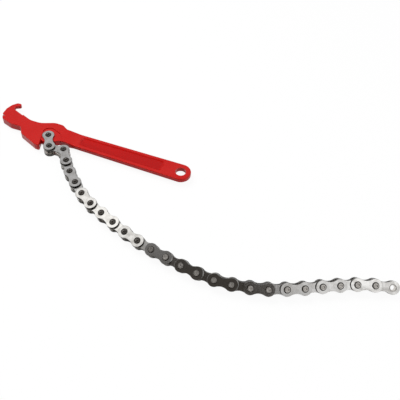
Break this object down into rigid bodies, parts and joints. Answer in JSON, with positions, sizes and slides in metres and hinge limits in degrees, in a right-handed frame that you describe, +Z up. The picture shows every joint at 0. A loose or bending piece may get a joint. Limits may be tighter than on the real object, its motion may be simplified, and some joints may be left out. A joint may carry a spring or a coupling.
{
  "type": "chain oil filter wrench",
  "caption": "Flat forged lever with a hooked head and a hang hole, and a long free chain pinned to the head, for gripping round oil filters.",
  "frame": {"origin": "centre of the hang hole in the lever's tail, on the lever's middle plane", "axes": "+X along the lever from its head to its tail, +Z up, square to the flat of the lever"},
  "size_m": [0.3513, 0.1132, 0.0125],
  "materials": {
    "red_enamel": "glossy enamel",
    "chain_steel": "oiled bright steel"
  },
  "bodies": {
    "handle": {"handle": "red_enamel"},
    "outer_link_01": {"outer_link_01": "chain_steel"},
    "inner_link_01": {"inner_link_01": "chain_steel"},
    "outer_link_02": {"outer_link_02": "chain_steel"},
    "inner_link_02": {"inner_link_02": "chain_steel"},
    "outer_link_03": {"outer_link_03": "chain_steel"},
    "inner_link_03": {"inner_link_03": "chain_steel"},
    "outer_link_04": {"outer_link_04": "chain_steel"},
    "inner_link_04": {"inner_link_04": "chain_steel"},
    "outer_link_05": {"outer_link_05": "chain_steel"},
    "inner_link_05": {"inner_link_05": "chain_steel"},
    "outer_link_06": {"outer_link_06": "chain_steel"},
    "inner_link_06": {"inner_link_06": "chain_steel"},
    "outer_link_07": {"outer_link_07": "chain_steel"},
    "inner_link_07": {"inner_link_07": "chain_steel"},
    "outer_link_08": {"outer_link_08": "chain_steel"},
    "inner_link_08": {"inner_link_08": "chain_steel"},
    "outer_link_09": {"outer_link_09": "chain_steel"},
    "inner_link_09": {"inner_link_09": "chain_steel"},
    "outer_link_10": {"outer_link_10": "chain_steel"},
    "inner_link_10": {"inner_link_10": "chain_steel"},
    "outer_link_11": {"outer_link_11": "chain_steel"},
    "inner_link_11": {"inner_link_11": "chain_steel"},
    "outer_link_12": {"outer_link_12": "chain_steel"},
    "inner_link_12": {"inner_link_12": "chain_steel"},
    "outer_link_13": {"outer_link_13": "chain_steel"},
    "inner_link_13": {"inner_link_13": "chain_steel"}
  },
  "joints": [
    {"name": "pivot_01", "type": "hinge", "parent": "handle", "child": "outer_link_01", "pos_m": [-0.1169, -0.0055, 0], "axis": [0, 0, 1], "range_deg": [-13, 7]},
    {"name": "pivot_02", "type": "hinge", "parent": "outer_link_01", "child": "inner_link_01", "pos_m": [-0.11017, -0.01627, 0], "axis": [0, 0, -1], "range_deg": [-10, 130]},
    {"name": "pivot_03", "type": "hinge", "parent": "inner_link_01", "child": "outer_link_02", "pos_m": [-0.0975, -0.01538, 0], "axis": [-0.0021, 0.0027, 1], "range_deg": [-24, 30]},
    {"name": "pivot_04", "type": "hinge", "parent": "outer_link_02", "child": "inner_link_02", "pos_m": [-0.08968, -0.02539, 0.00004], "axis": [0.0021, -0.0027, -1], "range_deg": [-33, 85]},
    {"name": "pivot_05", "type": "hinge", "parent": "inner_link_02", "child": "outer_link_03", "pos_m": [-0.08108, -0.03473, 0.00012], "axis": [-0.0669, -0.0647, 0.9957], "range_deg": [-85, 37]},
    {"name": "pivot_06", "type": "hinge", "parent": "outer_link_03", "child": "inner_link_03", "pos_m": [-0.07174, -0.04334, 0.00019], "axis": [-0.0669, -0.0647, 0.9957], "range_deg": [-85, 41]},
    {"name": "pivot_07", "type": "hinge", "parent": "inner_link_03", "child": "outer_link_04", "pos_m": [-0.06173, -0.05116, 0.00025], "axis": [0.097, 0.1577, -0.9827], "range_deg": [-66, 87]},
    {"name": "pivot_08", "type": "hinge", "parent": "outer_link_04", "child": "inner_link_04", "pos_m": [-0.05079, -0.0576, 0.0003], "axis": [-0.097, -0.1577, 0.9827], "range_deg": [-87, 72]},
    {"name": "pivot_09", "type": "hinge", "parent": "inner_link_04", "child": "outer_link_05", "pos_m": [-0.0391, -0.06256, 0.00033], "axis": [0.1048, 0.2549, -0.9613], "range_deg": [-79, 81]},
    {"name": "pivot_10", "type": "hinge", "parent": "outer_link_05", "child": "inner_link_05", "pos_m": [-0.02732, -0.06732, 0.00035], "axis": [-0.1048, -0.2549, 0.9613], "range_deg": [-81, 79]},
    {"name": "pivot_11", "type": "hinge", "parent": "inner_link_05", "child": "outer_link_06", "pos_m": [-0.01546, -0.07187, 0.00043], "axis": [0.1205, 0.3434, -0.9314], "range_deg": [-77, 83]},
    {"name": "pivot_12", "type": "hinge", "parent": "outer_link_06", "child": "inner_link_06", "pos_m": [-0.00336, -0.07573, 0.00058], "axis": [-0.1205, -0.3434, 0.9314], "range_deg": [-83, 77]},
    {"name": "pivot_13", "type": "hinge", "parent": "inner_link_06", "child": "outer_link_07", "pos_m": [0.00894, -0.07887, 0.00071], "axis": [0.0939, 0.439, -0.8936], "range_deg": [-77, 83]},
    {"name": "pivot_14", "type": "hinge", "parent": "outer_link_07", "child": "inner_link_07", "pos_m": [0.02141, -0.08129, 0.00083], "axis": [-0.0939, -0.439, 0.8936], "range_deg": [-81, 79]},
    {"name": "pivot_15", "type": "hinge", "parent": "inner_link_07", "child": "outer_link_08", "pos_m": [0.03393, -0.08339, 0.00093], "axis": [0.0799, 0.5239, -0.848], "range_deg": [-79, 81]},
    {"name": "pivot_16", "type": "hinge", "parent": "outer_link_08", "child": "inner_link_08", "pos_m": [0.04651, -0.08516, 0.00103], "axis": [-0.0799, -0.5239, 0.848], "range_deg": [-85, 75]},
    {"name": "pivot_17", "type": "hinge", "parent": "inner_link_08", "child": "outer_link_09", "pos_m": [0.0592, -0.0856, 0.00111], "axis": [-0.0381, 0.6053, -0.7951], "range_deg": [-75, 85]},
    {"name": "pivot_18", "type": "hinge", "parent": "outer_link_09", "child": "inner_link_09", "pos_m": [0.07187, -0.08471, 0.00117], "axis": [0.0381, -0.6053, 0.7951], "range_deg": [-85, 75]},
    {"name": "pivot_19", "type": "hinge", "parent": "inner_link_09", "child": "outer_link_10", "pos_m": [0.08438, -0.08251, 0.0012], "axis": [-0.1762, 0.6129, -0.7702], "range_deg": [-75, 85]},
    {"name": "pivot_20", "type": "hinge", "parent": "outer_link_10", "child": "inner_link_10", "pos_m": [0.09658, -0.07901, 0.00119], "axis": [0.1762, -0.6129, 0.7702], "range_deg": [-85, 75]},
    {"name": "pivot_21", "type": "hinge", "parent": "inner_link_10", "child": "outer_link_11", "pos_m": [0.10836, -0.07425, 0.00118], "axis": [-0.2657, 0.5686, -0.7785], "range_deg": [-78, 82]},
    {"name": "pivot_22", "type": "hinge", "parent": "outer_link_11", "child": "inner_link_11", "pos_m": [0.11987, -0.06888, 0.00117], "axis": [0.2657, -0.5686, 0.7785], "range_deg": [-82, 78]},
    {"name": "pivot_23", "type": "hinge", "parent": "inner_link_11", "child": "outer_link_12", "pos_m": [0.13108, -0.06292, 0.00117], "axis": [-0.276, 0.5523, -0.7867], "range_deg": [-81, 79]},
    {"name": "pivot_24", "type": "hinge", "parent": "outer_link_12", "child": "inner_link_12", "pos_m": [0.14245, -0.05725, 0.00116], "axis": [0.276, -0.5523, 0.7867], "range_deg": [-79, 81]},
    {"name": "pivot_25", "type": "hinge", "parent": "inner_link_12", "child": "outer_link_13", "pos_m": [0.15396, -0.05189, 0.00115], "axis": [-0.1982, 0.5738, -0.7947], "range_deg": [-85, 75]},
    {"name": "pivot_26", "type": "hinge", "parent": "outer_link_13", "child": "inner_link_13", "pos_m": [0.16597, -0.04775, 0.00114], "axis": [0.1982, -0.5738, 0.7947], "range_deg": [-75, 85]}
  ]
}
